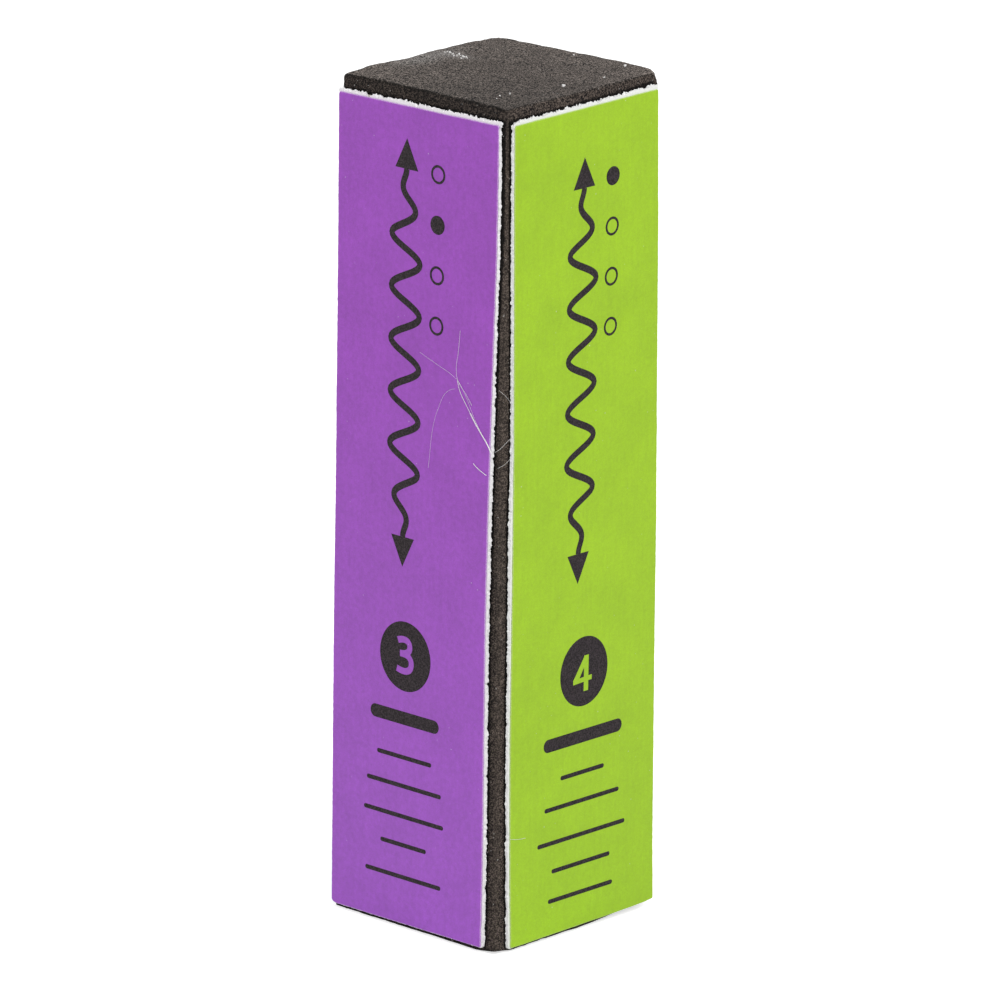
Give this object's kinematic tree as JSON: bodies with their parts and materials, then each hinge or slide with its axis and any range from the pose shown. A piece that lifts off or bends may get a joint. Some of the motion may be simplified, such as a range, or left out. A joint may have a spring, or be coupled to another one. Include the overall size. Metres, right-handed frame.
{
  "type": "four-way nail file block",
  "caption": "Square foam buffing block with a laminated abrasive strip bonded to each long side: file, smooth, polish and shine.",
  "frame": {"origin": "the middle of the foam core's lower end, on the surface that the block stands on", "axes": "+Z along the block, upwards as it stands; -Y faces out of side 3 (polish), +X out of side 4 (shine), +Y out of side 1 (file) and -X out of side 2 (smooth)"},
  "size_m": [0.0256, 0.0256, 0.095],
  "materials": {
    "foam": "matte",
    "adhesive_film": "satin",
    "white_backing": "matte",
    "file_abrasive": "matte",
    "smooth_abrasive": "matte",
    "polish_abrasive": "satin",
    "shine_abrasive": "satin"
  },
  "bodies": {
    "root": {"foam_core": "foam", "file_adhesive": "adhesive_film", "file_backing": "white_backing", "file_sheet": "file_abrasive", "smooth_adhesive": "adhesive_film", "smooth_backing": "white_backing", "smooth_sheet": "smooth_abrasive", "polish_adhesive": "adhesive_film", "polish_backing": "white_backing", "polish_sheet": "polish_abrasive", "shine_adhesive": "adhesive_film", "shine_backing": "white_backing", "shine_sheet": "shine_abrasive"}
  },
  "joints": []
}
